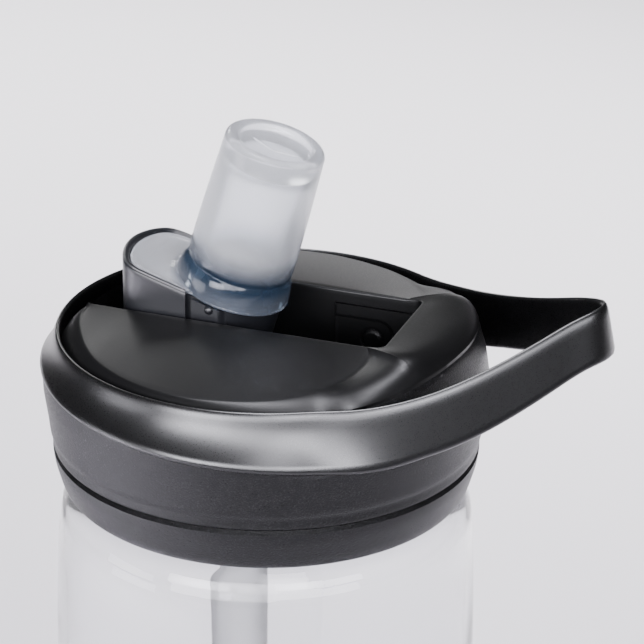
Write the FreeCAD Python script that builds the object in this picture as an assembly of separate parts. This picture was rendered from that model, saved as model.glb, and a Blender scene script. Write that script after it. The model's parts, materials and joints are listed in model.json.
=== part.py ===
# Water bottle with a screw cap, a flip-up bite valve and a fixed carry loop.
# Millimetres, +Z up, origin at the centre of the base, +X towards the carry loop.
# Cap pieces are drawn with z = 0 at the cap's lower edge and lifted by CAP_Z when written.
# Spout pieces are drawn about the flip pivot; those in line with the valve are then leaned.
import FreeCAD, Part
import math
import os
from FreeCAD import Vector

# ---------------------------------------------------------------- driving dimensions
CAP_Z = 200.0            # cap's lower edge above the base
BODY_R = 37.2            # vessel's straight side, the part a cage grips
BODY_FROM, BODY_TO = 60.0, 165.0
WALL = 1.8               # vessel wall
FOOT_R_IN, FOOT_R_OUT = 24.0, 30.5
NECK_R = 31.0
NECK_R_IN = 28.8
NECK_TOP = 10.4          # vessel rim, above the cap's lower edge

PITCH = 5.0              # thread rise per turn
THREAD_DEPTH = 1.2
THREAD_ROOT_W, THREAD_CREST_W = 2.6, 1.2
NECK_THREAD_TURNS = 1.2
CAP_THREAD_TURNS = 1.1
CAP_THREAD_DROP = 2.2    # the cap's thread runs this far under the neck's

BAND_R_LOW, BAND_R_HIGH = 35.0, 36.9   # lower band at its edge and at the groove
GROOVE_Z = 7.7
CAP_BORE = 32.75
PLATE_UNDER, PLATE_TOP = 12.5, 14.3    # top plate of the threaded inner cap
SEAT_R = 35.5            # wall that carries the deck and the loop
WALL_R = 37.5            # upright wall at the handle side
WALL_TOP = 26.0
LEDGE_Z, LEDGE_TILT = 19.8, -0.06      # underside of the loop's ring: z = LEDGE_Z + LEDGE_TILT * x

LOOP_CREST_R, LOOP_CREST_Z = 35.3, 28.3
LOOP_REACH_FRONT = 4.4   # how far the lower edge flares out beyond the crest
LOOP_REACH_BACK_LESS = 1.0
LOOP_ARC_FROM = 56.0     # the ring leaves the round cap at this azimuth
LOOP_ARM = ((25.0, 27.7, 28.5), (30.0, 25.2, 29.2), (35.0, 22.4, 30.4), (40.0, 18.7, 32.2),
            (45.0, 14.2, 34.5), (50.0, 9.4, 37.0), (54.0, 5.2, 39.4))
LOOP_TIP = (57.4, 0.0, 41.4)

ARM_FREE = 0.3           # share of an arm that still follows the ledge
ARM_DROP = 8.3           # height of an arm's section past it
ARM_DROP_LESS = 0.5      # how much lower the section is at the tip
ARM_DROP_BULGE = 1.6     # how much taller it is midway
LOOP_SEAT_GAP = 0.2      # between the ring's lower edge and the ledge it sits on

DECK_WALL = 1.6
# Each ring of the deck: radius round the cap, radius at the handle side,
# then its height at the sides, at the back and at the handle side.
DECK_RINGS = ((35.3, 37.4, 26.1, 26.1, 26.1),
              (35.2, 36.9, 27.2, 27.4, 27.5),
              (34.2, 36.0, 28.4, 29.0, 29.6),
              (32.4, 34.6, 29.2, 30.6, 31.5),
              (27.5, 30.5, 30.3, 31.6, 32.3),
              (19.0, 19.0, 31.2, 31.85, 32.0),
              (9.0, 9.0, 31.9, 31.9, 31.9))

TROUGH_HALF = 10.7       # half width of the deck's opening
TROUGH_END = 25.5
WELL_HALF = 11.3         # half width between the walls below the deck
WELL_WALL = 1.5
WELL_FLOOR = 11.5
WELL_TOP = 30.0
WELL_END = 27.0

PIVOT_X, PIVOT_Z = -14.54, 27.6
LEAN = 16.0              # valve's lean towards the loop when the spout is up
TRUNNION_R = 1.8
TRUNNION_GAP = 0.06
BARREL_R = 8.4
BARREL_HALF = 8.8
COVER_HALF = 10.2
COVER_WALL = 1.2
COVER_BACK = -11.5       # cover's back, from the pivot
COVER_ROUND = 16.5       # its radius in plan
VALVE_OFFSET = 6.1       # valve's axis from the pivot
VALVE_BASE, VALVE_TIP = 8.6, 37.1      # along the valve's axis, from the pivot
STEM_R = 5.9
STEM_BORE = 3.2
STEM_TOP = 14.0
RIM = 9.2                # cover's rim, along the valve's axis
SLIT = 0.3               # bite slit's opening

PORT_X = -17.4           # flow port under the barrel
PORT_R, PORT_BORE, PORT_TOP = 4.6, 2.4, 20.5
DUCT_UNDER, DUCT_FLOOR, DUCT_CEILING = 8.6, 10.0, 12.0   # passage from the straw to the port
STRAW_X = -5.0
STRAW_R, STRAW_WALL = 5.0, 0.7
STRAW_FOOT = 9.0         # straw's lower end above the base
SPIGOT_R, SPIGOT_BORE, SPIGOT_FOOT = 4.25, 3.0, -6.0
SEAL_R, SEAL_FOOT = 3.9, 16.0
VENT_X, VENT_Y, VENT_R = 3.0, 21.0, 1.6
TINY = 0.05


# ---------------------------------------------------------------- helpers
def lines(points):
    """Straight edges through (r, z) points of a profile."""
    return [Part.makeLine(Vector(a[0], 0, a[1]), Vector(b[0], 0, b[1]))
            for a, b in zip(points, points[1:])]


def curve(points):
    """One smooth edge through (r, z) points of a profile."""
    spline = Part.BSplineCurve()
    spline.interpolate([Vector(r, 0, z) for r, z in points])
    return [spline.toShape()]


def turned(edges):
    """Solid of revolution about Z from a closed profile."""
    return Part.Face(Part.Wire(edges)).revolve(Vector(0, 0, 0), Vector(0, 0, 1), 360)


def turned_polygon(points):
    return turned(lines(list(points) + [points[0]]))


def rod(x, y, z_low, z_high, radius):
    return Part.makeCylinder(radius, z_high - z_low, Vector(x, y, z_low), Vector(0, 0, 1))


def cross_rod(x, z, half, radius):
    """Cylinder along Y, centred on y = 0."""
    return Part.makeCylinder(radius, 2 * half, Vector(x, -half, z), Vector(0, 1, 0))


def block(x_low, x_high, half, z_low, z_high):
    return Part.makeBox(x_high - x_low, 2 * half, z_high - z_low, Vector(x_low, -half, z_low))


def rounded_slot(x_low, x_high, half, radius, z_low, z_high):
    """Upright block whose +X end has rounded corners."""
    body = block(x_low, x_high - radius, half, z_low, z_high)
    body = body.fuse(block(x_low, x_high, half - radius, z_low, z_high))
    for side in (-1, 1):
        body = body.fuse(rod(x_high - radius, side * (half - radius), z_low, z_high, radius))
    return body.removeSplitter()


def ridge(radius, outward, z_start, azimuth, turns):
    """Helical thread ridge; outward is 1 on the neck and -1 inside the cap."""
    helix = Part.makeHelix(PITCH, PITCH * turns, radius)
    root = radius - 0.3 * outward
    crest = radius + THREAD_DEPTH * outward
    wide, narrow = THREAD_ROOT_W / 2, THREAD_CREST_W / 2
    corners = [Vector(root, 0, -wide), Vector(crest, 0, -narrow),
               Vector(crest, 0, narrow), Vector(root, 0, wide), Vector(root, 0, -wide)]
    body = Part.Wire(helix).makePipeShell([Part.makePolygon(corners)], True, True)
    body = Part.Solid(body) if body.ShapeType != "Solid" else body
    body.rotate(Vector(0, 0, 0), Vector(0, 0, 1), azimuth)
    body.translate(Vector(0, 0, z_start))
    return body


def fused(shapes):
    return shapes[0].multiFuse(shapes[1:]).removeSplitter()


def largest(shape):
    return max(shape.Solids, key=lambda solid: solid.Volume)


def at_pivot(shape, lean=LEAN):
    """Place a spout piece that was drawn about the pivot, leaned towards +X."""
    moved = shape.copy()
    moved.rotate(Vector(0, 0, 0), Vector(0, 1, 0), lean)
    moved.translate(Vector(PIVOT_X, 0, PIVOT_Z))
    return moved


# ---------------------------------------------------------------- vessel
def bottle_body():
    rim = CAP_Z + NECK_TOP
    neck_foot = CAP_Z - 0.6
    outer = lines([(FOOT_R_IN, 0), (FOOT_R_OUT, 0)])
    outer += curve([(FOOT_R_OUT, 0), (32.6, 0.9), (34.0, 3.2), (34.6, 7.0)])
    outer += curve([(34.6, 7.0), (35.7, 20.0), (36.8, 42.0), (BODY_R, BODY_FROM)])
    outer += lines([(BODY_R, BODY_FROM), (BODY_R, BODY_TO)])
    outer += curve([(BODY_R, BODY_TO), (37.1, 172.0), (36.7, 184.0), (36.2, 193.0)])
    outer += curve([(36.2, 193.0), (35.7, 196.2), (34.2, 198.6), (NECK_R, neck_foot)])
    outer += lines([(NECK_R, neck_foot), (NECK_R, rim), (NECK_R_IN, rim), (NECK_R_IN, CAP_Z - 1.6)])
    inner = curve([(NECK_R_IN, CAP_Z - 1.6), (32.4, CAP_Z - 3.2), (34.1, CAP_Z - 6.0), (34.5, 190.0)])
    inner += curve([(34.5, 190.0), (35.0, 182.0), (35.3, 172.0), (BODY_R - WALL, BODY_TO)])
    inner += lines([(BODY_R - WALL, BODY_TO), (BODY_R - WALL, BODY_FROM)])
    inner += curve([(BODY_R - WALL, BODY_FROM), (34.9, 42.0), (33.6, 20.0), (32.4, 8.0)])
    inner += curve([(32.4, 8.0), (30.8, 4.0), (27.0, 2.6), (21.5, 3.8), (12.0, 5.8), (0, 6.6)])
    dome = lines([(0, 6.6), (0, 4.2)])
    dome += curve([(0, 4.2), (12.0, 3.4), (21.0, 1.6), (FOOT_R_IN, 0)])
    vessel = turned(outer + inner + dome)
    thread = ridge(NECK_R, 1, CAP_Z + 2.4, 12.0, NECK_THREAD_TURNS)
    return vessel.fuse(thread).removeSplitter()


# ---------------------------------------------------------------- carry loop
def loop_stations():
    """Crest point, outward direction in plan and how far along the arm, for the +Y half."""
    stations = []
    for step in range(9):
        azimuth = math.radians(180.0 - step * (180.0 - LOOP_ARC_FROM) / 8)
        out = (math.cos(azimuth), math.sin(azimuth))
        stations.append(((LOOP_CREST_R * out[0], LOOP_CREST_R * out[1], LOOP_CREST_Z), out, 0.0))
    track = [stations[-1][0]] + list(LOOP_ARM) + [LOOP_TIP]
    for index in range(1, len(track)):
        before = track[index - 1]
        after = track[index + 1] if index + 1 < len(track) else (LOOP_TIP[0], -4.0, LOOP_TIP[2])
        if index + 1 == len(track):
            out = (1.0, 0.0)
        else:
            run = (after[0] - before[0], after[1] - before[1])
            length = math.hypot(*run)
            out = (-run[1] / length, run[0] / length)
            out = out if out[0] > 0 else (-out[0], -out[1])
        stations.append((track[index], out, index / (len(track) - 1)))
    return stations


def loop_section(station):
    """Cross-section of the loop: narrow crest, flared outer face, blunt lower edge."""
    (x, y, z), out, along = station
    drop = z - (LEDGE_Z + LOOP_SEAT_GAP + LEDGE_TILT * x)
    if along >= ARM_FREE:
        drop = ARM_DROP - ARM_DROP_LESS * along + ARM_DROP_BULGE * math.sin(math.pi * along)
    reach = LOOP_REACH_FRONT + LOOP_REACH_BACK_LESS * min(x, 0.0) / LOOP_CREST_R
    back = 0.4 * along
    offsets = ((back, -drop), (0.0, -0.5), (0.3, 0.0), (0.9, -0.4), (0.42 * reach, -0.53 * drop),
               (0.74 * reach, -0.8 * drop), (reach, -drop + 0.6), (reach - 0.5, -drop))
    points = [Vector(x + o * out[0], y + o * out[1], z + h) for o, h in offsets]
    return Part.makePolygon(points + [points[0]])


def carry_loop():
    half = Part.makeLoft([loop_section(s) for s in loop_stations()], True, False)
    other = half.mirror(Vector(0, 0, 0), Vector(0, 1, 0))
    return half.fuse(other).removeSplitter()


# ---------------------------------------------------------------- cap
def ledge_cutter():
    """Everything above the tilted underside of the loop's ring."""
    box = Part.makeBox(120, 120, 60, Vector(-60, -60, 0))
    box.rotate(Vector(0, 0, 0), Vector(0, 1, 0), -math.degrees(math.atan(LEDGE_TILT)))
    box.translate(Vector(0, 0, LEDGE_Z))
    return box


def cap_core():
    band = lines([(CAP_BORE, 0), (BAND_R_LOW - 0.4, 0)])
    band += curve([(BAND_R_LOW - 0.4, 0), (BAND_R_LOW, 0.4), (36.0, 2.8), (36.6, 5.0), (BAND_R_HIGH, 7.1)])
    band += lines([(BAND_R_HIGH, 7.1), (BAND_R_HIGH - 0.6, GROOVE_Z), (35.0, GROOVE_Z), (35.0, PLATE_TOP),
                   (0, PLATE_TOP), (0, PLATE_UNDER), (CAP_BORE, PLATE_UNDER), (CAP_BORE, 0)])
    skirt = turned(band)
    start = 2.4 - CAP_THREAD_DROP + PITCH / 2
    thread = ridge(CAP_BORE, -1, start, 192.0, CAP_THREAD_TURNS)
    well_under = WELL_FLOOR - WELL_WALL
    well = rounded_slot(-40, WELL_END + WELL_WALL, WELL_HALF + WELL_WALL, 3.0, well_under, WELL_TOP)
    room = rod(0, 0, 0, PLATE_UNDER, NECK_R_IN - 0.5).fuse(rod(0, 0, PLATE_UNDER, 24.6, SEAT_R - 2.1))
    room = room.fuse(deck_body(DECK_WALL + 0.15)).common(rod(0, 0, 0, 40, SEAT_R - 2.1))
    well = well.common(room)
    port = rod(PORT_X, 0, well_under, PORT_TOP, PORT_R)
    duct = block(PORT_X, STRAW_X, 5.0, DUCT_UNDER, PLATE_UNDER)
    duct = duct.fuse(rod(PORT_X, 0, DUCT_UNDER, PLATE_UNDER, 5.0))
    duct = duct.fuse(rod(STRAW_X, 0, DUCT_UNDER, PLATE_UNDER, 6.4))
    spigot = rod(STRAW_X, 0, SPIGOT_FOOT, DUCT_UNDER, SPIGOT_R)
    core = fused([skirt, thread, well, port, duct, spigot])
    pocket = rounded_slot(-40, WELL_END, WELL_HALF, 2.0, WELL_FLOOR, WELL_TOP + 1)
    depth = rod(0, 0, 0, PLATE_TOP, NECK_R_IN - 2.0).fuse(rod(0, 0, PLATE_TOP, 40, SEAT_R - 3.6))
    pocket = pocket.common(depth).cut(port)
    core = core.cut(pocket)
    core = core.cut(cross_rod(PIVOT_X, PIVOT_Z, WELL_HALF + WELL_WALL + 1, TRUNNION_R + TRUNNION_GAP))
    core = core.cut(cross_rod(PIVOT_X, PIVOT_Z, WELL_HALF - TINY, BARREL_R + 0.6))
    passage = rod(PORT_X, 0, DUCT_FLOOR, PORT_TOP + 1, PORT_BORE)
    passage = passage.fuse(rod(STRAW_X, 0, SPIGOT_FOOT - 1, DUCT_CEILING, SPIGOT_BORE))
    passage = passage.fuse(block(PORT_X, STRAW_X, 3.0, DUCT_FLOOR, DUCT_CEILING))
    core = core.cut(passage)
    core = core.cut(rod(PORT_X, 0, SEAL_FOOT, PORT_TOP + 1, SEAL_R + TINY))
    return core.cut(rod(VENT_X, -VENT_Y, PLATE_UNDER - 1, PLATE_TOP + 1, VENT_R))


def cap_shell(loop):
    band = curve([(BAND_R_HIGH - 0.5, GROOVE_Z + 0.1), (36.9, 8.6), (37.2, 10.2), (WALL_R, 13.0)])
    band += curve([(WALL_R, 13.0), (37.9, 15.5), (38.3, 18.5), (38.5, 22.4)])
    band += lines([(38.5, 22.4), (SEAT_R - 0.4, 22.4), (SEAT_R - 0.4, GROOVE_Z + 0.1),
                   (BAND_R_HIGH - 0.5, GROOVE_Z + 0.1)])
    skirt = turned(band).cut(ledge_cutter())
    seat = turned_polygon([(SEAT_R - 2.0, PLATE_TOP + 0.1), (SEAT_R, PLATE_TOP + 0.1), (SEAT_R, WALL_TOP),
                           (SEAT_R - 2.0, WALL_TOP)])
    wall = turned_polygon([(35.1, 13.0), (WALL_R, 13.0), (WALL_R, WALL_TOP), (35.1, WALL_TOP)])
    wall = wall.common(Part.makeBox(60, 64, 60, Vector(20.0, -32, 0)))
    shell = fused([skirt, seat, wall]).cut(loop)
    return largest(shell)


def deck_ring(front, handle, z_side, z_back, z_handle, azimuths=48):
    """One closed curve of the deck's surface, smooth in azimuth."""
    points = []
    for step in range(azimuths):
        azimuth = 2 * math.pi * step / azimuths
        across = math.cos(azimuth)
        share = min(max((across - 0.42) / 0.32, 0.0), 1.0)
        radius = front + (handle - front) * share * share * (3 - 2 * share)
        end = z_handle if across > 0 else z_back
        points.append(Vector(radius * across, radius * math.sin(azimuth),
                             z_side + (end - z_side) * across * across))
    spline = Part.BSplineCurve()
    spline.interpolate(points, PeriodicFlag=True)
    return Part.Wire(spline.toShape())


def deck_body(inset):
    rings = [deck_ring(a - inset, b - inset, c - inset, d - inset, e - inset) for a, b, c, d, e in DECK_RINGS]
    return Part.makeLoft(rings, True, False)


def top_deck(loop):
    deck = deck_body(0.0).cut(deck_body(DECK_WALL))
    deck = deck.cut(rounded_slot(-50, TROUGH_END, TROUGH_HALF, 2.5, 20, 40))
    vent = Part.makeBox(8, 0.8, 1.8, Vector(30, -13.3, 27.6))
    return largest(deck.cut(vent).cut(loop))


# ---------------------------------------------------------------- spout
def spout_barrel():
    barrel = cross_rod(0, 0, BARREL_HALF, BARREL_R)
    plate = Part.makeBox(13.0, 2 * BARREL_HALF, 1.8, Vector(-9.0, -BARREL_HALF, VALVE_BASE - 1.85))
    neck = rod(VALVE_OFFSET, 0, 2.3, VALVE_BASE - TINY, 8.8)
    stem = rod(VALVE_OFFSET, 0, 2.0, STEM_TOP, STEM_R)
    leaning = at_pivot(fused([barrel, plate, neck, stem]).cut(
        rod(VALVE_OFFSET, 0, -3.0, STEM_TOP + 1, STEM_BORE)))
    leaning = leaning.common(at_pivot(cover_room(60.0, TINY), 0.0))
    body = leaning.fuse(cross_rod(PIVOT_X, PIVOT_Z, WELL_HALF + WELL_WALL - 0.2, TRUNNION_R))
    inlet = rod(PORT_X, 0, PIVOT_Z - 12.0, PIVOT_Z - 4.0, PORT_BORE)
    across = Part.makeCylinder(PORT_BORE, 9.0, Vector(PORT_X, 0, PIVOT_Z - 4.0), Vector(1, 0, 0))
    return body.cut(inlet).cut(across)


def cover_room(x_high, gap):
    """Space inside the cover's walls, about the pivot, as an upright block."""
    radius = COVER_ROUND - COVER_WALL - gap
    room = rod(COVER_BACK + COVER_ROUND, 0, -15.0, 60.0, radius)
    room = room.fuse(block(COVER_BACK + COVER_ROUND, x_high, 30.0, -15.0, 60.0))
    return room.common(block(-30, x_high, COVER_HALF - COVER_WALL - gap, -15.0, 60.0))


def spout_cover():
    """Rounded shell round the back of the spout, open at the top for the pad."""
    outline = rod(COVER_BACK + COVER_ROUND, 0, -6.0, 20.0, COVER_ROUND)
    outline = outline.common(block(-30, 3.9, COVER_HALF, -6.0, 20.0))
    above = Part.makeBox(80, 80, 40, Vector(-40, -40, RIM))
    above.rotate(Vector(0, 0, 0), Vector(0, 1, 0), LEAN)
    shell = outline.cut(cover_room(20.0, 0.0)).cut(above)
    shell = shell.cut(cross_rod(0, 0, COVER_HALF + 1, TRUNNION_R + 0.02))
    return at_pivot(shell, 0.0)


def bite_valve():
    skirt = [(6.0, 0), (9.6, 0), (9.7, 1.4), (9.3, 3.6), (8.9, 4.1), (9.1, 4.8)]
    top = VALVE_TIP - VALVE_BASE
    outer = [(8.6, top - 2.2), (8.2, top - 0.8), (7.5, top - 0.1), (6.9, top), (6.4, top - 0.5),
             (6.0, top - 1.2), (4.0, top - 1.8), (0, top - 2.0)]
    inner = [(0, top - 4.2), (6.0, top - 5.0)]
    tube = turned_polygon(skirt + outer + inner)
    tube.translate(Vector(VALVE_OFFSET, 0, VALVE_BASE))
    pad = Part.makeBox(16.0, 2 * BARREL_HALF, 1.2, Vector(-12.0, -BARREL_HALF, VALVE_BASE))
    pad = pad.cut(rod(VALVE_OFFSET, 0, 0, 12, 9.0))
    slit = Part.makeBox(SLIT, 8.0, 8.0, Vector(VALVE_OFFSET - SLIT / 2, -4.0, VALVE_TIP - 6))
    valve = at_pivot(tube.fuse(pad).removeSplitter().cut(slit))
    return valve.common(at_pivot(cover_room(60.0, TINY), 0.0).fuse(at_pivot(rod(VALVE_OFFSET, 0, 0, 60, 12))))


def spout_seal():
    seal = rod(PORT_X, 0, SEAL_FOOT + TINY, 28.0, SEAL_R).cut(rod(PORT_X, 0, 15.0, 29.0, PORT_BORE))
    return seal.cut(cross_rod(PIVOT_X, PIVOT_Z, 12, BARREL_R + 0.1))


# ---------------------------------------------------------------- small pieces
def straw():
    top = CAP_Z - 1.0
    tube = rod(STRAW_X, 0, STRAW_FOOT, top, STRAW_R).cut(rod(STRAW_X, 0, 0, top + 9, STRAW_R - STRAW_WALL))
    notch = Part.makeBox(30, 30, 30, Vector(-15, -15, -30))
    notch.rotate(Vector(0, 0, 0), Vector(0, 1, 0), 30)
    notch.translate(Vector(STRAW_X + STRAW_R, 0, STRAW_FOOT))
    return tube.cut(notch)


def cap_gasket():
    return turned_polygon([(NECK_R_IN + 0.1, NECK_TOP + TINY), (NECK_R + 0.9, NECK_TOP + TINY),
                           (NECK_R + 0.9, PLATE_UNDER - TINY), (NECK_R_IN + 0.1, PLATE_UNDER - TINY)])


def vent_valve():
    """One-way silicone umbrella valve under the plate."""
    umbrella = turned([*lines([(0, PLATE_UNDER - 1.6), (4.6, PLATE_UNDER - 0.7), (4.6, PLATE_UNDER - 0.1),
                               (1.5, PLATE_UNDER - 0.1), (1.5, PLATE_TOP + 0.1), (2.1, PLATE_TOP + 0.1),
                               (1.4, PLATE_TOP + 2.2), (0, PLATE_TOP + 2.2), (0, PLATE_UNDER - 1.6)])])
    umbrella.translate(Vector(VENT_X, -VENT_Y, 0))
    return umbrella


# ---------------------------------------------------------------- write the parts
def lifted(shape):
    moved = shape.copy()
    moved.translate(Vector(0, 0, CAP_Z))
    return moved


def main():
    os.makedirs("parts", exist_ok=True)
    loop = carry_loop()
    nodes = {
        "bottle_body": bottle_body(),
        "straw": straw(),
        "cap_core": lifted(cap_core()),
        "cap_shell": lifted(cap_shell(loop)),
        "carry_loop": lifted(loop),
        "top_deck": lifted(top_deck(loop)),
        "spout_barrel": lifted(spout_barrel()),
        "spout_cover": lifted(spout_cover()),
        "bite_valve": lifted(bite_valve()),
        "spout_seal": lifted(spout_seal()),
        "cap_gasket": lifted(cap_gasket()),
        "vent_valve": lifted(vent_valve()),
    }
    for name, shape in nodes.items():
        box = shape.BoundBox
        print("%-13s solids %d valid %s volume %8.0f  x %.1f %.1f  y %.1f %.1f  z %.1f %.1f" % (
            name, len(shape.Solids), shape.isValid(), shape.Volume,
            box.XMin, box.XMax, box.YMin, box.YMax, box.ZMin, box.ZMax))
        shape.exportStep("parts/%s.step" % name)


main()
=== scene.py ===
"""Water bottle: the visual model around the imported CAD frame. Metres, +Z up, +X towards the carry loop."""
import json
import math

import bmesh
import bpy
import numpy as np
from mathutils import Matrix, Vector


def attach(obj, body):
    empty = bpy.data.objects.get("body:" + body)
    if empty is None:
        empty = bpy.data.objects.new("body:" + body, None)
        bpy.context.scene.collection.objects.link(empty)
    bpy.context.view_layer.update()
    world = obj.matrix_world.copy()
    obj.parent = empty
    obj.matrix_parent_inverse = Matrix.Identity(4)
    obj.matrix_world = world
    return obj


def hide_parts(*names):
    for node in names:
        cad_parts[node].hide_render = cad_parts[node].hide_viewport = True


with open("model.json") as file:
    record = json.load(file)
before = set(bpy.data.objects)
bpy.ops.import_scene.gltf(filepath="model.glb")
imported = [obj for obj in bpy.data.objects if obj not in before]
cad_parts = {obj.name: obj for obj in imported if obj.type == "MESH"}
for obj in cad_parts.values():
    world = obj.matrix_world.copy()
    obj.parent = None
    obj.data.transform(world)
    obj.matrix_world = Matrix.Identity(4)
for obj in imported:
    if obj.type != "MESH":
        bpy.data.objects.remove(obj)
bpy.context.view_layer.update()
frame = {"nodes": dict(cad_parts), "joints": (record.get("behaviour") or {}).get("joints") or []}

MM = 0.001
JOINTS = {joint["name"]: joint for joint in frame["joints"]}
CAP_Z = JOINTS["cap_turn"]["pos_m"][2] / MM            # cap's lower edge, mm above the base


LEAN = math.radians(16.0)                               # valve's lean towards the loop
VALVE_OFFSET = 6.1                                      # valve's axis from the pivot
PIVOT = Vector(JOINTS["spout_flip"]["pos_m"]) / MM
VALVE_AXIS = Vector((math.sin(LEAN), 0.0, math.cos(LEAN)))
VALVE_FOOT = (PIVOT + VALVE_OFFSET * Vector((math.cos(LEAN), 0.0, -math.sin(LEAN)))) * MM


# ---------------------------------------------------------------- materials
def new_material(name):
    """A material, its node tree and its Principled shader."""
    material = bpy.data.materials.new(name)
    material.use_nodes = True
    tree = material.node_tree
    return material, tree, tree.nodes["Principled BSDF"]


def node(tree, kind, inputs=(), **settings):
    """A node with its settings and inputs; an input that is a socket is linked, a value is set."""
    made = tree.nodes.new(kind)
    for key, value in settings.items():
        setattr(made, key, value)
    for key, value in dict(inputs).items():
        if isinstance(value, bpy.types.NodeSocket):
            tree.links.new(value, made.inputs[key])
        else:
            made.inputs[key].default_value = value
    return made


def noise(tree, scale, detail=2.0, roughness=0.5):
    """Noise in the object's own metres, so that its grain has a real size."""
    place = node(tree, "ShaderNodeTexCoord")
    return node(tree, "ShaderNodeTexNoise", {"Vector": place.outputs["Object"], "Scale": scale,
                                             "Detail": detail, "Roughness": roughness}).outputs["Fac"]


def ramp(tree, fac, low, high, out_low, out_high):
    """The factor's range low to high mapped to out_low to out_high."""
    return node(tree, "ShaderNodeMapRange", {"Value": fac, "From Min": low, "From Max": high,
                                             "To Min": out_low, "To Max": out_high}).outputs["Result"]


MIX_A, MIX_B, MIX_RESULT = 6, 7, 2                      # a Mix node's colour sockets


def mixed(tree, fac, a, b):
    """Colour a to b by the factor; b may be a colour socket."""
    second = b if isinstance(b, bpy.types.NodeSocket) else (*b, 1.0)
    made = node(tree, "ShaderNodeMix", {"Factor": fac, MIX_A: (*a, 1.0), MIX_B: second}, data_type="RGBA")
    return made.outputs[MIX_RESULT]


def black_plastic(name, dark, light, rough, rough_spread, grain, grain_depth, specular, painted_glints=False):
    """Moulded black plastic: fine grain in bump and roughness, cloudiness in colour, or pale specks that are
    painted glints.
    """
    material, tree, shader = new_material(name)
    fine = noise(tree, grain, 3.0, 0.6)
    # pale specks in the colour are painted glints: tiny painted highlights of the grain
    if painted_glints:
        spread = ramp(tree, fine, 0.52, 0.72, 0.0, 1.0)
    else:
        spread = ramp(tree, noise(tree, 60.0, 3.0), 0.35, 0.65, 0.0, 1.0)
    tree.links.new(mixed(tree, spread, dark, light), shader.inputs["Base Color"])
    uneven = ramp(tree, fine, 0.3, 0.7, rough - rough_spread, rough + rough_spread)
    tree.links.new(uneven, shader.inputs["Roughness"])
    bump = node(tree, "ShaderNodeBump", {"Height": fine, "Strength": 1.0, "Distance": grain_depth})
    tree.links.new(bump.outputs["Normal"], shader.inputs["Normal"])
    shader.inputs["Specular IOR Level"].default_value = specular
    return material


# the cap bands' pale specks are painted glints, not real flecks in the plastic
TEXTURED = black_plastic("cap_textured", (0.0015, 0.0015, 0.0017), (0.020, 0.020, 0.022), rough=0.38,
                         rough_spread=0.12, grain=3600.0, grain_depth=0.00010, specular=0.35, painted_glints=True)
SATIN = black_plastic("loop_satin", (0.0012, 0.0012, 0.0014), (0.0018, 0.0018, 0.0020), rough=0.29,
                      rough_spread=0.03, grain=6000.0, grain_depth=0.000004, specular=0.8)
MATTE = black_plastic("deck_matte", (0.002, 0.002, 0.0022), (0.003, 0.003, 0.0033), rough=0.38,
                      rough_spread=0.05, grain=4200.0, grain_depth=0.000012, specular=0.3)
SPOUT = black_plastic("spout_black", (0.005, 0.0055, 0.0075), (0.007, 0.0075, 0.0095), rough=0.36,
                      rough_spread=0.05, grain=4200.0, grain_depth=0.000010, specular=0.7)


VESSEL_IOR, SOFT_IOR = 1.54, 1.41


def clear_plastic():
    """Clear vessel plastic with slow waves in its surface."""
    material, tree, shader = new_material("vessel_clear")
    wave = noise(tree, 45.0, 1.0)
    bump = node(tree, "ShaderNodeBump", {"Height": wave, "Strength": 0.25, "Distance": 0.0006})
    tree.links.new(bump.outputs["Normal"], shader.inputs["Normal"])
    tree.links.new(ramp(tree, noise(tree, 400.0), 0.3, 0.7, 0.015, 0.05), shader.inputs["Roughness"])
    tree.links.new(mixed(tree, wave, (0.98, 0.985, 0.995), (0.99, 0.993, 1.0)), shader.inputs["Base Color"])
    shader.inputs["Transmission Weight"].default_value = 1.0
    shader.inputs["IOR"].default_value = VESSEL_IOR
    return material


def frosted(name, tint, rough, transmission):
    """Frosted soft plastic or silicone that lets part of the light through."""
    material, tree, shader = new_material(name)
    cloud = noise(tree, 160.0, 3.0)
    lighter = tuple(min(1.0, c * 1.06) for c in tint)
    tree.links.new(mixed(tree, cloud, tint, lighter), shader.inputs["Base Color"])
    tree.links.new(ramp(tree, cloud, 0.3, 0.7, rough - 0.05, rough + 0.05), shader.inputs["Roughness"])
    grain = noise(tree, 2500.0)
    bump = node(tree, "ShaderNodeBump", {"Height": grain, "Strength": 0.4, "Distance": 0.00001})
    tree.links.new(bump.outputs["Normal"], shader.inputs["Normal"])
    shader.inputs["Transmission Weight"].default_value = transmission
    shader.inputs["IOR"].default_value = SOFT_IOR
    return material


def vector_math(tree, operation, a, b):
    return node(tree, "ShaderNodeVectorMath", {0: a, 1: b}, operation=operation)


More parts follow.
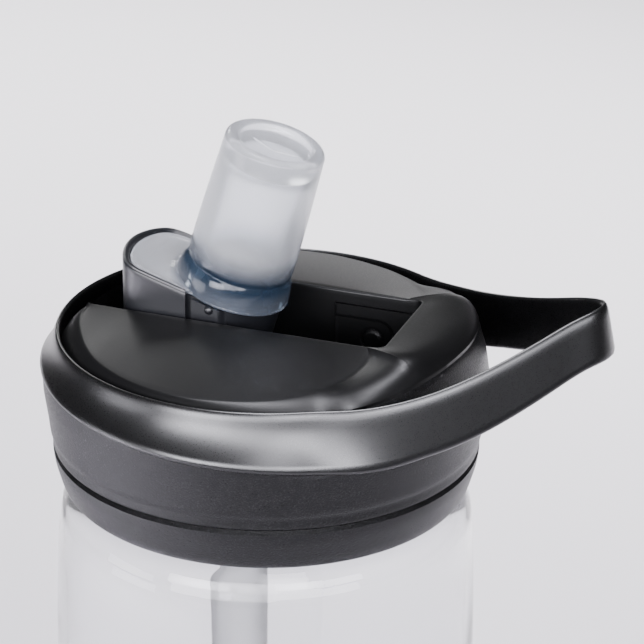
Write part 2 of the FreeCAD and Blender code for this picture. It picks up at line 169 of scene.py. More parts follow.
def silicone():
    """Translucent silicone, milky, but darker and bluer where its foot grips the black stem."""
    material, tree, shader = new_material("silicone_clear")
    cloud = noise(tree, 90.0, 2.0)
    place = node(tree, "ShaderNodeTexCoord").outputs["Object"]
    along = vector_math(tree, "DOT_PRODUCT", place, VALVE_AXIS).outputs["Value"]
    arm = vector_math(tree, "SUBTRACT", place, VALVE_FOOT).outputs["Vector"]
    square = vector_math(tree, "CROSS_PRODUCT", arm, VALVE_AXIS).outputs["Vector"]
    away = node(tree, "ShaderNodeVectorMath", {0: square}, operation="LENGTH").outputs["Value"]
    foot = VALVE_FOOT.dot(VALVE_AXIS)
    dark_to, milky_from = 14.0 * MM, 18.5 * MM           # up the valve's axis
    stem_edge, pad_from = 9.3 * MM, 11.5 * MM            # out from it
    high = ramp(tree, along, foot + dark_to, foot + milky_from, 0.0, 1.0)
    outside = ramp(tree, away, stem_edge, pad_from, 0.0, 1.0)
    milky = node(tree, "ShaderNodeMath", {0: high, 1: outside}, operation="MAXIMUM").outputs["Value"]
    pale = mixed(tree, cloud, (0.90, 0.925, 0.975), (0.96, 0.97, 0.99))
    dark_foot = (0.05, 0.085, 0.14)
    tree.links.new(mixed(tree, milky, dark_foot, pale), shader.inputs["Base Color"])
    tree.links.new(ramp(tree, milky, 0.0, 1.0, 0.10, 0.24), shader.inputs["Roughness"])
    shader.inputs["Transmission Weight"].default_value = 0.78
    shader.inputs["IOR"].default_value = SOFT_IOR
    return material


CLEAR = clear_plastic()
STRAW = frosted("straw_frosted", (0.985, 0.99, 1.0), 0.42, 0.88)
SILICONE = silicone()
GREY_SILICONE = frosted("silicone_grey", (0.62, 0.64, 0.68), 0.5, 0.1)

FINISH = {"bottle_body": CLEAR, "straw": STRAW, "cap_core": TEXTURED, "cap_shell": TEXTURED,
          "carry_loop": SATIN, "top_deck": MATTE, "spout_barrel": SPOUT, "spout_cover": SPOUT,
          "bite_valve": SILICONE, "spout_seal": GREY_SILICONE, "cap_gasket": GREY_SILICONE,
          "vent_valve": GREY_SILICONE}
for name, cad in frame["nodes"].items():
    cad.data.materials.clear()
    cad.data.materials.append(FINISH[name])


# ---------------------------------------------------------------- mesh helpers (lengths in mm)
ROUND = 240                                             # facets round the bottle


def unit(vector):
    return vector / np.linalg.norm(vector)


def filleted(corners, steps=6):
    """Open polyline through (a, b, radius) corners, each corner rounded to its radius."""
    line = []
    for index, (a, b, radius) in enumerate(corners):
        here = np.array((a, b), float)
        if radius == 0:
            line.append(here)
            continue
        before = np.array(corners[index - 1][:2], float) - here
        after = np.array(corners[index + 1][:2], float) - here
        half = math.acos(np.clip(unit(before) @ unit(after), -1, 1)) / 2
        reach = min(radius / math.tan(half), 0.49 * np.linalg.norm(before), 0.49 * np.linalg.norm(after))
        centre = here + unit(unit(before) + unit(after)) * reach / math.cos(half)
        start, end = here + unit(before) * reach - centre, here + unit(after) * reach - centre
        for step in range(steps + 1):
            turn = unit(start * (1 - step / steps) + end * step / steps)
            line.append(centre + turn * np.linalg.norm(start))
    return np.array(line)


def smooth_line(points, steps=6, closed=False):
    """Catmull-Rom curve through the points."""
    points = np.array(points, float)
    count = len(points)
    line = []
    for index in range(count if closed else count - 1):
        if closed:
            p = [points[(index + k) % count] for k in (-1, 0, 1, 2)]
        else:
            p = [points[min(max(index + k, 0), count - 1)] for k in (-1, 0, 1, 2)]
        for step in range(steps):
            t = step / steps
            line.append(0.5 * (2 * p[1] + (p[2] - p[0]) * t
                               + (2 * p[0] - 5 * p[1] + 4 * p[2] - p[3]) * t * t
                               + (3 * p[1] - p[0] - 3 * p[2] + p[3]) * t ** 3))
    if not closed:
        line.append(points[-1])
    return np.array(line)


def even_line(line, count):
    """The same line as count points at equal distances."""
    line = np.array(line, float)
    along = np.concatenate([[0.0], np.cumsum(np.linalg.norm(np.diff(line, axis=0), axis=1))])
    at = np.linspace(0, along[-1], count)
    return np.column_stack([np.interp(at, along, line[:, k]) for k in range(line.shape[1])])


def smoothstep(value, low, high):
    share = np.clip((value - low) / (high - low), 0.0, 1.0)
    return share * share * (3 - 2 * share)


def build_piece(name, grids, material, body, stands_for=(), *, sharp):
    """One mesh from grids of points, in mm from the base, shaded flat across edges over sharp degrees.

    Each grid is (rows, close_rows, close_columns, end_caps).
    """
    build = bmesh.new()
    for rows, close_rows, close_columns, end_caps in grids:
        rows = np.array(rows, float) * MM
        verts = [[build.verts.new(point) for point in row] for row in rows]
        row_count, column_count = len(verts), len(verts[0])
        for i in range(row_count if close_rows else row_count - 1):
            for j in range(column_count if close_columns else column_count - 1):
                k, m = (i + 1) % row_count, (j + 1) % column_count
                build.faces.new((verts[i][j], verts[i][m], verts[k][m], verts[k][j]))
        if end_caps:
            for row in (verts[0], verts[-1]):
                middle = build.verts.new(sum((v.co for v in row), Vector()) / len(row))
                for j in range(column_count):
                    build.faces.new((row[j], row[(j + 1) % column_count], middle))
    bmesh.ops.remove_doubles(build, verts=build.verts, dist=0.000002)
    bmesh.ops.recalc_face_normals(build, faces=build.faces)
    mesh = bpy.data.meshes.new(name)
    build.to_mesh(mesh)
    build.free()
    mesh.shade_smooth()
    mesh.set_sharp_from_angle(angle=math.radians(sharp))
    mesh.materials.append(material)
    made = bpy.data.objects.new(name, mesh)
    bpy.context.scene.collection.objects.link(made)
    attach(made, body)
    if stands_for:
        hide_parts(*stands_for)


def turned(profile):
    """Rows of points that turn an (r, z) profile about Z: one row for each profile point."""
    angles = np.linspace(0, 2 * math.pi, ROUND, endpoint=False)
    return [[(r * math.cos(a), r * math.sin(a), z) for a in angles] for r, z in profile]


def raised(rows):
    """Rows lifted from the cap's own height to the bottle's."""
    return np.array(rows, float) + np.array((0.0, 0.0, CAP_Z))


# ---------------------------------------------------------------- vessel
def helix_ridge(radius, z_start, azimuth, turns):
    """The neck's thread, fading in and out at its ends."""
    pitch, depth, root_half, crest_half = 5.0, 1.2, 1.3, 0.6
    rows = []
    steps = int(72 * turns)
    for step in range(steps + 1):
        share = step / steps
        height = depth * min(1.0, 12 * share, 12 * (1 - share)) + 0.02
        angle = azimuth + 2 * math.pi * turns * share
        z = z_start + pitch * turns * share
        section = ((-0.3, -root_half), (height, -crest_half), (height, crest_half), (-0.3, root_half))
        rows.append([((radius + a) * math.cos(angle), (radius + a) * math.sin(angle), z + b)
                     for a, b in section])
    return (rows, False, True, True)


def vessel():
    """Vessel with its neck and thread: outside from the foot up, over the rim, and down the inside."""
    shoulder = CAP_Z - 0.6
    outer = [(30.5, 0.0), (32.6, 0.9), (34.0, 3.2), (34.6, 7.0), (35.7, 20.0), (36.8, 42.0), (37.2, 60.0)]
    outer += [(37.2, z) for z in (90.0, 120.0, 150.0, 165.0)]
    outer += [(37.1, 172.0), (36.7, 184.0), (36.2, 193.0), (35.4, 196.6), (33.9, 198.6), (31.0, shoulder)]
    inner = [(28.8, 198.6), (31.6, 197.3), (33.6, 194.6), (34.5, 190.0), (35.0, 182.0), (35.3, 172.0)]
    inner += [(35.4, z) for z in (165.0, 150.0, 120.0, 90.0, 60.0)]
    inner += [(34.9, 42.0), (33.6, 20.0), (32.4, 8.0), (30.8, 4.6), (27.0, 3.1), (21.5, 4.0), (12.0, 5.8)]
    inner += [(0.0, 6.6)]
    top = CAP_Z + 10.4
    rim = filleted([(31.0, shoulder, 0), (31.0, top, 0.5), (28.8, top, 0.5), (28.8, 198.6, 0)])
    base = smooth_line([(0.0, 4.2), (12.0, 3.4), (20.0, 1.9), (24.0, 0.4), (26.0, 0.0), (30.5, 0.0)], 4)
    profile = np.vstack([smooth_line(outer, 5), rim, smooth_line(inner, 5), base])
    profile[:, 1] = np.maximum(profile[:, 1], 0.0)
    neck_thread = helix_ridge(31.0, CAP_Z + 2.4, math.radians(12.0), 1.2)
    build_piece("vessel_shell", [(turned(profile), False, True, False), neck_thread], CLEAR,
                "vessel", ["bottle_body"], sharp=50.0)


# ---------------------------------------------------------------- carry loop
CREST_R, CREST_Z = 35.3, 28.3
LEDGE_Z, LEDGE_TILT = 19.8, -0.06                       # the ring sits at z = LEDGE_Z + LEDGE_TILT * x
ARM_FROM = math.radians(56.0)
FLAT_X, LEAVE_X, FREE_X = 16.0, 22.0, 36.0              # face starts to flatten; ring leaves the cap; is free


def crest_path():
    """Crest of the loop, closed, from the back round past the tip."""
    arc = [(CREST_R * math.cos(a), CREST_R * math.sin(a), CREST_Z)
           for a in np.linspace(math.pi, ARM_FROM, 16)]
    arm = [(25.0, 27.5, 28.5), (30.0, 25.0, 29.2), (35.0, 22.2, 30.4), (40.0, 18.6, 32.2),
           (45.0, 14.3, 34.5), (50.0, 9.6, 37.2), (54.2, 5.0, 39.6)]
    half = arc + arm
    mirror = [(x, -y, z) for x, y, z in reversed(half[1:])]
    path = smooth_line(half + [(58.8, 0.0, 41.4)] + mirror, 6, closed=True)
    path = even_line(np.vstack([path, path[:1]]), 241)[:-1]
    for _ in range(10):
        path = 0.5 * path + 0.25 * np.roll(path, 1, axis=0) + 0.25 * np.roll(path, -1, axis=0)
    return path


def loop_piece():
    """Ring and loop: a section of a flared outer face and a plain inner face along the crest."""
    path = crest_path()
    rows = []
    for index, (x, y, z) in enumerate(path):
        ahead, behind = path[(index + 1) % len(path)], path[index - 1]
        run = unit(ahead[:2] - behind[:2])
        out = np.array((-run[1], run[0]))
        out = out if out @ np.array((x - 10.0, y)) > 0 else -out
        arm = float(np.clip((x - LEAVE_X) / 34.0, 0.0, 1.0))
        low = LEDGE_Z + 0.15 + LEDGE_TILT * x
        drop_arm = 9.4 + 1.0 * math.sin(math.pi * arm) - 0.5 * arm
        drop = (z - low) + (drop_arm - (z - low)) * smoothstep(x, LEAVE_X, FREE_X)
        flat = smoothstep(x, FLAT_X, FREE_X)
        reach = 4.4 + 1.0 * min(x, 0.0) / CREST_R - 1.9 * flat
        back = 0.5 * arm
        bent = 0.65 * (1 - flat)
        face = [(0.75, -0.30), (0.95, -0.75)]
        for s in np.linspace(0.14, 1.0, 10):
            flare = s * (1 - bent + bent * s)
            face.append((0.95 + (reach - 0.95) * flare, -0.4 - (drop - 1.3) * s))
        face += [(reach - 0.05, -drop + 0.45), (reach - 0.35, -drop + 0.1), (reach - 0.8, -drop)]
        inner = [(back + 0.5, -drop), (back + 0.1, -drop + 0.3), (back, -drop + 0.8),
                 (back * 0.6, -drop * 0.5), (0.02, -1.2), (0.0, -0.55), (0.1, -0.18), (0.35, -0.02),
                 (0.55, -0.06)]
        rows.append([(x + o * out[0], y + o * out[1], z + h) for o, h in face + inner])
    build_piece("carry_ring", [(raised(rows), True, True, False)], SATIN, "cap",
                ["carry_loop"], sharp=60.0)


# ---------------------------------------------------------------- bands
def handle_side(azimuth):
    """1 where the cap's wall stands free inside the loop, 0 where the ring covers it."""
    return smoothstep(-abs(azimuth), -math.radians(56.0), -math.radians(46.0))


BAND_R, BAND_INNER, BAND_LOW = 38.4, 34.7, 7.85


def mid_band():
    """Band between the groove and the ring; at the handle side it runs on up inside the loop."""
    low = [(36.3, BAND_LOW), (36.75, 8.05), (36.92, 8.5), (36.98, 9.8), (37.3, 10.8), (37.55, 13.0),
           (37.9, 15.5), (38.25, 18.0)]
    free = [(38.3, 19.6), (37.9, 22.0), (37.5, 24.5), (36.9, 26.6), (36.3, 28.6), (36.0, 29.5),
            (35.6, 29.7)]
    low_line = smooth_line(low, 3)
    rows = []
    for azimuth in np.linspace(0, 2 * math.pi, ROUND, endpoint=False):
        turn = azimuth if azimuth <= math.pi else azimuth - 2 * math.pi
        share = handle_side(turn)
        ledge = LEDGE_Z + LEDGE_TILT * BAND_R * math.cos(azimuth)
        shut = even_line([(BAND_R, ledge - 0.4), (BAND_R, ledge), (37.0, ledge), (35.3, ledge)], 12)
        open_ = even_line(smooth_line(free, 4), 12)
        wall_top = outer_edge(turn)[1] - 0.1
        stretch = np.array((1.0, (wall_top - free[0][1]) / (free[-1][1] - free[0][1])))
        tall = (open_ - (0.0, free[0][1])) * stretch + (0.0, free[0][1])
        top = shut * (1 - share) + tall * share
        inner = np.array([(BAND_INNER, top[-1][1]), (BAND_INNER, BAND_LOW)])
        rows.append([(r * math.cos(azimuth), r * math.sin(azimuth), z)
                     for r, z in np.vstack([low_line, top, inner])])
    build_piece("mid_band", [(raised(rows), True, True, False)], TEXTURED, "cap",
                ["cap_shell"], sharp=40.0)


# ---------------------------------------------------------------- deck
TROUGH_HALF, TROUGH_Z, TROUGH_BACK, TROUGH_END = 10.7, 32.0, -28.4, 24.4
CORNER_X, CORNER_R = 21.9, 2.5
LIP_GAP = 0.6
EDGE_DEPTH, EDGE_ROUND = 2.4, 0.45
CREASE = ((TROUGH_BACK, -11.2, 31.5), (-28.0, -14.6, 30.9), (-24.8, -20.4, 30.0), (-20.2, -26.0, 29.4),
          (-14.0, -30.1, 29.0), (-6.9, -32.6, 28.8), (1.5, -33.0, 28.7), (11.1, -29.9, 28.8),
          (17.6, -24.6, 29.2), (21.0, -19.8, 29.8), (22.6, -15.4, 30.7), (22.6, -12.8, 31.4),
          (CORNER_X, -TROUGH_HALF - LIP_GAP, 31.95))


def deck_paths():
    """Trough edge and crease of the deck, point for point, from the back left round to the back right."""
    side_count, end_count = 84, 25
    crease = even_line(smooth_line(CREASE, 8), side_count)
    edge = even_line([(TROUGH_BACK, -TROUGH_HALF), (CORNER_X, -TROUGH_HALF)], side_count)
    corner = filleted([(CORNER_X, -TROUGH_HALF, 0), (TROUGH_END, -TROUGH_HALF, CORNER_R),
                       (TROUGH_END, 0.0, 0)], steps=8)
    lip = even_line(corner, end_count)
    run = np.gradient(lip, axis=0)
    run[0] = (1.0, 0.0)
    lip_out = lip + np.array([unit(np.array((b, -a))) * LIP_GAP for a, b in run])
    lip_z = TROUGH_Z + 0.05 + 0.15 * smoothstep(lip[:, 0], 22.0, TROUGH_END)
    side_edge = np.column_stack([edge, np.full(side_count, TROUGH_Z)])
    half_edge = np.vstack([side_edge, np.column_stack([lip, lip_z])])
    half_crease = np.vstack([crease[:-1], np.column_stack([lip_out, lip_z + 0.05])])
    half_edge = np.delete(half_edge, side_count - 1, axis=0)
    flip = np.array((1.0, -1.0, 1.0))
    edge_line = np.vstack([half_edge, (half_edge * flip)[-2::-1]])
    crease_line = np.vstack([half_crease, (half_crease * flip)[-2::-1]])
    return edge_line, crease_line


def outer_edge(azimuth):
    """Where the deck meets the ring or, at the handle side, the wall."""
    share = handle_side(azimuth)
    slope = smoothstep(-abs(azimuth), -math.radians(52.0), -math.radians(5.0))
    return 34.9 + 1.1 * share, 26.3 + (27.9 - 26.3) * share + 2.6 * slope


def deck():
    """Crowned deck: from the trough's edge over the crease, then down the hood or the side to the ring."""
    edge_line, crease_line = deck_paths()
    hood_line = ((0.0, 1.0), (0.20, 1.12), (0.42, 1.20), (0.60, 1.20), (0.75, 1.06), (0.87, 0.76),
                 (0.95, 0.38), (1.0, 0.0))
    side_line = ((0.0, 1.0), (0.12, 0.96), (0.30, 0.84), (0.50, 0.66), (0.70, 0.44), (0.86, 0.24),
                 (0.95, 0.10), (1.0, 0.0))
    hood = even_line(smooth_line(hood_line, 5), 22)
    side = even_line(smooth_line(side_line, 5), 22)
    rows = []
    for edge, crease in zip(edge_line, crease_line):
        azimuth = math.atan2(crease[1], crease[0])
        radius, bottom = outer_edge(azimuth)
        outward = unit(crease[:2] - edge[:2])
        hood_share = smoothstep(-abs(azimuth), -math.radians(56.0), -math.radians(27.0))
        wide = min(EDGE_ROUND, EDGE_ROUND * float(np.linalg.norm(crease[:2] - edge[:2])))
        row = [(*edge[:2], edge[2] - drop) for drop in (EDGE_DEPTH, EDGE_DEPTH / 2, wide)]
        for a, b in ((0.08, 0.62), (0.3, 0.3), (0.62, 0.08)):
            row.append((*(edge[:2] + outward * wide * a), edge[2] - wide * b))
        start = np.array((*(edge[:2] + outward * wide), edge[2]))
        crown = 0.09 * min(float(np.linalg.norm(crease[:2] - start[:2])), 18.0)
        for v in np.linspace(0, 1, 18):
            point = start * (1 - v) + crease * v
            row.append((point[0], point[1], point[2] + crown * v * (1 - v)))
        end = np.array((radius * math.cos(azimuth), radius * math.sin(azimuth), bottom))
        for plan_share, height_share in (hood * hood_share + side * (1 - hood_share))[1:]:
            point = crease * (1 - plan_share) + end * plan_share
            row.append((point[0], point[1], bottom + (crease[2] - bottom) * height_share))
        inner_end = np.array(((radius - 1.4) * math.cos(azimuth), (radius - 1.4) * math.sin(azimuth)))
        row += [(end[0], end[1], bottom - 1.6), (inner_end[0], inner_end[1], bottom - 1.6)]
        row += [(*(inner_end * 0.98), bottom - 0.6), (*(edge[:2] + outward * 1.2), edge[2] - EDGE_DEPTH)]
        rows.append(row)
    build_piece("deck_cover", [(raised(rows), False, True, True)], MATTE, "cap",
                ["top_deck"], sharp=30.0)


def vent_slot_shade():
    """Painted shade: a dark block in the mouth of the small vent slot in the wall inside the loop, where the
    slot's hollow would be shaded.
    """
    azimuth, half_wide = math.radians(-17.5), 0.35
    low, high, inner, outer = 27.2, 29.2, 35.2, 36.3
    corners = ((-1, low), (1, low), (1, high), (-1, high))
    out = np.array((math.cos(azimuth), math.sin(azimuth)))
    side = np.array((-out[1], out[0]))
    rows = []
    for radius in (inner, outer):
        rows.append([(*(out * radius + side * half_wide * a), z) for a, z in corners])
    build_piece("vent_slot_shade", [(raised(rows), False, True, True)], MATTE, "cap",
                sharp=30.0)


# ---------------------------------------------------------------- spout
def leaned(rows):
    """Rows drawn about the pivot, with the valve's axis upright, turned to the valve's lean."""
    rows = np.array(rows, float)
    x, y, z = rows[..., 0], rows[..., 1], rows[..., 2]
    return np.stack([PIVOT.x + x * math.cos(LEAN) + z * math.sin(LEAN), y,
                     PIVOT.z - x * math.sin(LEAN) + z * math.cos(LEAN)], axis=-1)


VALVE_COUNT = 320
FLANGE_R = 9.75
RIM_W = 9.35                                            # cover's rim along the valve's axis
SLIT_DEPTH, SLIT_HALF, SLIT_BEND = 0.5, 0.15, 0.25


def soft_least(a, b, power=10.0):
    """The lesser of two lengths, with a rounded corner where they cross."""
    return (a ** -power + b ** -power) ** (-1.0 / power)


def pad_reach(angle):
    """Distance from the valve's axis to the silicone's outline: a round flange with the pad behind it."""
    half, back, radius = 8.95, -12.3, 14.5
    across, along = abs(math.sin(angle)), math.cos(angle)
    if along >= 0:
        return FLANGE_R
    middle = back + radius - VALVE_OFFSET
    centre = middle * along
    arc = centre + math.sqrt(centre * centre - middle ** 2 + radius * radius)
    return max(FLANGE_R, soft_least(half / max(across, 1e-3), arc))


def bite_valve():
    """Silicone valve, its flange and the pad behind it, as one moulding with a hollow inside."""
    angles = np.linspace(0, 2 * math.pi, VALVE_COUNT, endpoint=False)
    reach = np.array([pad_reach(a) for a in angles])
    spread = reach - FLANGE_R
    rows = []

    def ring(radii, heights):
        radii = np.broadcast_to(radii, angles.shape)
        heights = np.broadcast_to(heights, angles.shape)
        across = radii * np.sin(angles)
        rows.append(np.column_stack([VALVE_OFFSET + radii * np.cos(angles), across, heights]))

    for radius, height in ((6.05, 8.9), (6.25, 8.7), (7.5, 8.65)):
        ring(radius, height)
    for inset, height in ((0.7, 8.62), (0.25, 8.66), (0.05, 8.8), (0.0, 9.0), (0.08, 9.2),
                          (0.25, RIM_W - 0.04)):
        ring(reach - inset, height)
    pad_edge = reach - 0.3
    for share in np.linspace(0.04, 1.0, 16):
        dish = 0.075 * spread * math.sin(math.pi * share ** 0.8) * (1 - 0.3 * share)
        height = RIM_W - dish + 0.10 * spread * share ** 5
        ring(pad_edge + (FLANGE_R - 0.02 - pad_edge) * share, height)
    for radius, height, flare in ((9.69, 10.0, 0.10), (9.62, 10.8, 0.075), (9.50, 11.6, 0.045),
                                  (9.32, 12.4, 0.02), (9.10, 13.0, 0.0), (8.92, 13.35, 0.0),
                                  (8.84, 13.55, 0.0), (8.92, 13.8, 0.0), (9.04, 14.05, 0.0)):
        ring(radius + flare * spread, height)
    side = smooth_line([(9.12, 14.6), (9.10, 18.0), (8.96, 24.0), (8.76, 30.0), (8.62, 34.0)], 4)
    rim = filleted([(8.60, 34.2, 0), (8.52, 36.9, 1.8), (6.4, 36.9, 0.7), (6.0, 35.7, 0.7), (5.2, 35.5, 0)],
                   steps=9)
    for radius, height in np.vstack([side, rim]):
        ring(radius, height)
    for radius in np.linspace(5.0, 0.0, 30):
        x, y = radius * np.cos(angles), radius * np.sin(angles)
        within = smoothstep(-np.abs(x), -4.4, -3.9)
        slit = SLIT_DEPTH * np.exp(-((y - SLIT_BEND * np.abs(x)) / SLIT_HALF) ** 2) * within
        ring(radius, 35.1 + 0.4 * (radius / 5.2) ** 1.5 - slit)
    for radius, height in ((0.0, 31.6), (2.0, 31.7), (4.5, 32.1), (5.5, 32.2), (6.0, 31.6), (6.2, 30.5),
                           (6.3, 24.0), (6.35, 16.0), (6.3, 14.6), (6.05, 14.2), (6.05, 12.0)):
        ring(radius, height)
    build_piece("bite_valve_soft", [(leaned(rows), True, True, False)], SILICONE, "spout",
                ["bite_valve"], sharp=40.0)


def cover_outline(angle, half, back, radius):
    """Distance from the pivot to the cover's wall in plan."""
    across, along = abs(math.sin(angle)), math.cos(angle)
    centre = (back + radius) * along
    arc = centre + math.sqrt(centre * centre - (back + radius) ** 2 + radius * radius)
    return soft_least(half / max(across, 1e-3), max(arc, 0.1), 14.0)


def spout_cover():
    """Rounded black shell round the back of the spout, with a fine raised rim that holds the pad."""
    front, wall, foot = 3.7, 1.15, -6.0
    half, back, plan_radius = 10.2, -10.7, 15.7
    start = math.atan2(half, front)
    rows = []
    for angle in np.linspace(-start, -2 * math.pi + start, 140):
        outer = cover_outline(angle, half, back, plan_radius)
        inner = cover_outline(angle, half - wall, back + wall, plan_radius - wall)
        section = []
        for share, drop in ((0.0, None), (0.0, 1.2), (0.0, 0.5), (0.12, 0.2), (0.4, 0.05), (0.65, 0.0),
                            (0.85, 0.06), (1.0, 0.3), (1.0, 1.6), (1.0, None)):
            radius = outer + (inner - outer) * share
            x, y = radius * math.cos(angle), radius * math.sin(angle)
            top = (RIM_W + 0.2 - x * math.sin(LEAN)) / math.cos(LEAN)
            z = foot if drop is None else top - drop
            section.append((PIVOT.x + x, y, PIVOT.z + z))
        rows.append(section)
    build_piece("cover_shell", [(rows, False, True, True)], SPOUT, "spout",
                ["spout_cover"], sharp=45.0)


def spout_cheek(side):
    """Flat cheek in front of the cover's edge, with the round bump that clicks under the deck."""
    x_low, x_high, z_low, z_high = 4.55, 10.4, -3.0, 7.4
    face, bump_r, bump_x, bump_z = 9.75, 0.75, 7.75, 6.0
    xs, zs = np.linspace(x_low, x_high, 60), np.linspace(0, 1, 90)
    rows = []
    for x in xs:
        top = min((RIM_W - 0.9 - x * math.sin(LEAN)) / math.cos(LEAN), z_high)
        front = smoothstep(x, x_high - 1.6, x_high)
        row = []
        for share in zs:
            z = z_low + (top - z_low) * share
            away = math.hypot(x - bump_x, z - bump_z)
            bump = math.sqrt(max(bump_r ** 2 - away ** 2, 0.0)) * 0.8
            row.append((PIVOT.x + x, side * (face - 1.3 * front * front + bump), PIVOT.z + z))
        row += [(PIVOT.x + x, side * 7.5, PIVOT.z + top), (PIVOT.x + x, side * 7.5, PIVOT.z + z_low)]
        rows.append(row)
    name = "spout_cheek_%s" % ("left" if side < 0 else "right")
    build_piece(name, [(rows, False, True, True)], SPOUT, "spout", sharp=35.0)


# ---------------------------------------------------------------- walls of the trough below the deck
def well_wall(side):
    """Side wall of the trough: a pocket for the spout, then a thicker wall with a sunk panel and a boss."""
    x_from, x_to, z_from, z_to = -22.0, 26.4, 12.0, 29.4
    pocket_end, panel_end, panel_top, corner = 8.5, 19.0, 27.2, 2.4
    boss_x, boss_z, boss_r = 15.3, 23.4, 1.65
    back = 11.26
    rows = []
    for x in np.linspace(x_from, x_to, 240):
        row = []
        for z in np.linspace(z_from, z_to, 90):
            proud = 0.05 + 0.85 * smoothstep(x, pocket_end - 0.15, pocket_end + 0.15)
            over = np.array((max(x - (panel_end - corner), 0.0), max(z - (panel_top - corner), 0.0)))
            inside = corner - float(np.linalg.norm(over)) if over.any() else corner
            sunk = 0.4 * smoothstep(inside, -0.12, 0.12) * smoothstep(x, pocket_end, pocket_end + 0.4)
            away = math.hypot(x - boss_x, z - boss_z)
            boss = 0.30 * smoothstep(-away, -boss_r - 0.12, -boss_r + 0.12)
            boss -= 0.25 * math.exp(-((away - boss_r - 0.25) / 0.14) ** 2)
            row.append((x, side * (back - max(proud - sunk + boss, 0.04)), z))
        row += [(x, side * back, z_to), (x, side * back, z_from)]
        rows.append(row)
    name = "well_wall_%s" % ("left" if side < 0 else "right")
    build_piece(name, [(raised(rows), False, True, True)], MATTE, "cap", sharp=60.0)


# ---------------------------------------------------------------- straw
def straw():
    """Straw with its bore and a slanted lower end."""
    radius, wall, x = 5.0, 0.7, -5.0
    foot, top, slant = 9.0, CAP_Z - 1.0, math.tan(math.radians(30.0))
    rows = []
    angles = np.linspace(0, 2 * math.pi, 96, endpoint=False)
    levels = np.linspace(0.0, 1.0, 24)
    for r, order in ((radius, levels), (radius - wall, levels[::-1])):
        for share in order:
            low = foot + slant * (radius - r * np.cos(angles))
            height = low + (top - low) * share
            rows.append(np.column_stack([x + r * np.cos(angles), r * np.sin(angles), height]))
    build_piece("straw_tube", [(rows, True, True, False)], STRAW, "cap", ["straw"],
                sharp=45.0)


vessel()
straw()
loop_piece()
mid_band()
deck()
vent_slot_shade()
bite_valve()
spout_cover()
for side in (-1, 1):
    spout_cheek(side)
    well_wall(side)


# ---------------------------------------------------------------- stage, light and camera
STAGE_TINTS = ((0.80, 0.775, 0.82), (0.82, 0.795, 0.84))
CAMERA_AZIMUTH, CAMERA_ELEVATION, CAMERA_ROLL = (math.radians(a) for a in (19.673, 23.220, 0.809))
CAMERA_PLACE = (0.14422, -0.37569, 0.40138)
CAMERA_LENS, CAMERA_SENSOR = 143.675, 36.0
WORLD_COLOUR, WORLD_STRENGTH = (0.88, 0.87, 0.90, 1.0), 0.11
COOL, WHITE = (0.935, 0.93, 1.0), (1.0, 1.0, 1.0)
CAP_CENTRE = (0.0, 0.0, 0.22)                           # where most lights point


def stage_sheet(name, track, half_width):
    """A sheet drawn by its (y, z) side line."""
    build = bmesh.new()
    rows = [[build.verts.new((x, y, z)) for y, z in track] for x in (-half_width, half_width)]
    for i in range(len(track) - 1):
        build.faces.new((rows[0][i], rows[1][i], rows[1][i + 1], rows[0][i + 1]))
    mesh = bpy.data.meshes.new(name)
    build.to_mesh(mesh)
    build.free()
    mesh.shade_smooth()
    made = bpy.data.objects.new(name, mesh)
    bpy.context.scene.collection.objects.link(made)
    material, tree, shader = new_material(name)
    tree.links.new(mixed(tree, noise(tree, 3.0), *STAGE_TINTS), shader.inputs["Base Color"])
    shader.inputs["Roughness"].default_value = 0.85
    shader.inputs["Specular IOR Level"].default_value = 0.2
    mesh.materials.append(material)


def stage():
    """Floor, and a low backdrop behind the bottle that curves up from it."""
    sweep, back = 0.35, 1.5
    turn = np.linspace(0, math.pi / 2, 16)
    curve = [(back + sweep * math.sin(a), sweep * (1 - math.cos(a)) + 0.001) for a in turn]
    stage_sheet("floor", [(-3.0, 0.0), (3.0, 0.0)], 3.0)
    stage_sheet("backdrop", curve + [(back + sweep, 0.5)], 1.1)


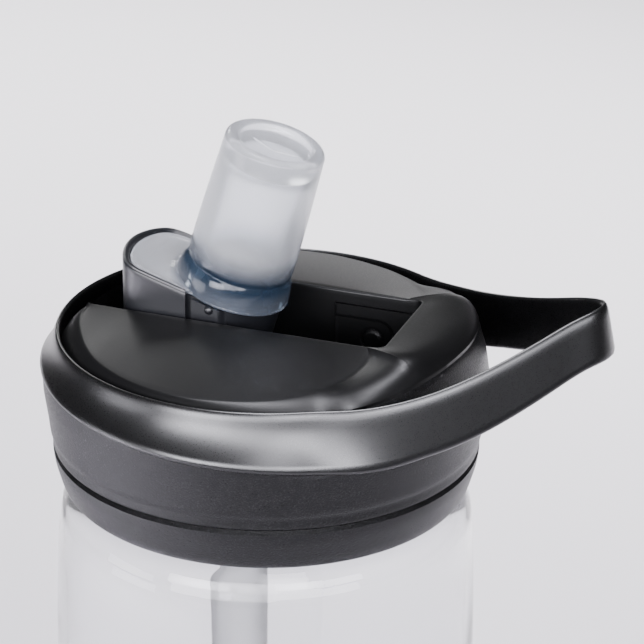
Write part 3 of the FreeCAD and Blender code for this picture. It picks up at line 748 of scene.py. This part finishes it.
# name, place, point it faces, width, height (m), power (W), colour, spread (degrees)
LIGHTS = (
    ("key_high", (0.42, -0.68, 0.82), CAP_CENTRE, 0.40, 0.50, 0.40, COOL, 50.0),
    ("key_mid", (0.20, -0.98, 0.52), CAP_CENTRE, 0.55, 0.36, 0.72, COOL, 50.0),
    ("key_low", (-0.24, -0.95, 0.45), CAP_CENTRE, 0.60, 0.30, 1.15, COOL, 50.0),
    ("key_right", (0.62, -0.78, 0.55), CAP_CENTRE, 0.45, 0.30, 0.68, COOL, 50.0),
    ("key_side", (0.88, -0.46, 0.52), CAP_CENTRE, 0.40, 0.26, 0.28, COOL, 50.0),
    ("low_left", (-0.90, -0.66, 0.22), CAP_CENTRE, 0.60, 0.25, 0.33, COOL, 60.0),
    ("floor_left", (-0.55, -0.40, 0.80), (-0.55, -0.40, 0.0), 0.5, 0.4, 11.0, COOL, 50.0),
    ("top", (0.0, 0.0, 1.3), CAP_CENTRE, 0.40, 0.40, 2.0, COOL, 60.0),
    ("deck_back", (-0.75, 0.90, 0.84), CAP_CENTRE, 0.40, 0.30, 2.8, WHITE, 180.0),
    ("deck_far", (-0.30, 1.20, 0.32), CAP_CENTRE, 0.50, 0.15, 0.08, WHITE, 60.0),
    ("floor_light", (0.0, 0.75, 1.2), (0.0, 0.75, 0.0), 2.4, 0.5, 18.2, WHITE, 66.0),
)


def lighting():
    """A dim world and soft rectangular lights; the floor's own light stays out of the reflections."""
    world = bpy.data.worlds.new("world")
    bpy.context.scene.world = world
    world.use_nodes = True
    background = world.node_tree.nodes["Background"]
    background.inputs["Color"].default_value = WORLD_COLOUR
    background.inputs["Strength"].default_value = WORLD_STRENGTH
    for name, place, target, width, height, power, colour, spread in LIGHTS:
        data = bpy.data.lights.new(name, "AREA")
        data.shape = "RECTANGLE"
        data.size, data.size_y = width, height
        data.energy = power
        data.color = colour
        data.spread = math.radians(spread)
        made = bpy.data.objects.new(name, data)
        made.location = place
        made.rotation_euler = (Vector(target) - Vector(place)).to_track_quat("-Z", "Y").to_euler()
        made.visible_glossy = name != "floor_light"
        bpy.context.scene.collection.objects.link(made)


def camera():
    """Camera at the photograph's viewing angle."""
    azimuth, elevation, roll = CAMERA_AZIMUTH, CAMERA_ELEVATION, CAMERA_ROLL
    forward = Vector((-math.sin(azimuth) * math.cos(elevation), math.cos(azimuth) * math.cos(elevation),
                      -math.sin(elevation)))
    side = forward.cross(Vector((0, 0, 1))).normalized()
    turned_side = Matrix.Rotation(-roll, 3, forward) @ side
    above = turned_side.cross(forward)
    data = bpy.data.cameras.new("camera")
    data.sensor_width = CAMERA_SENSOR
    data.lens = CAMERA_LENS
    data.clip_start, data.clip_end = 0.01, 20.0
    made = bpy.data.objects.new("camera", data)
    turn = Matrix((turned_side, above, -forward)).transposed().to_4x4()
    made.matrix_world = Matrix.Translation(Vector(CAMERA_PLACE)) @ turn
    bpy.context.scene.collection.objects.link(made)
    bpy.context.scene.camera = made


stage()
lighting()
camera()
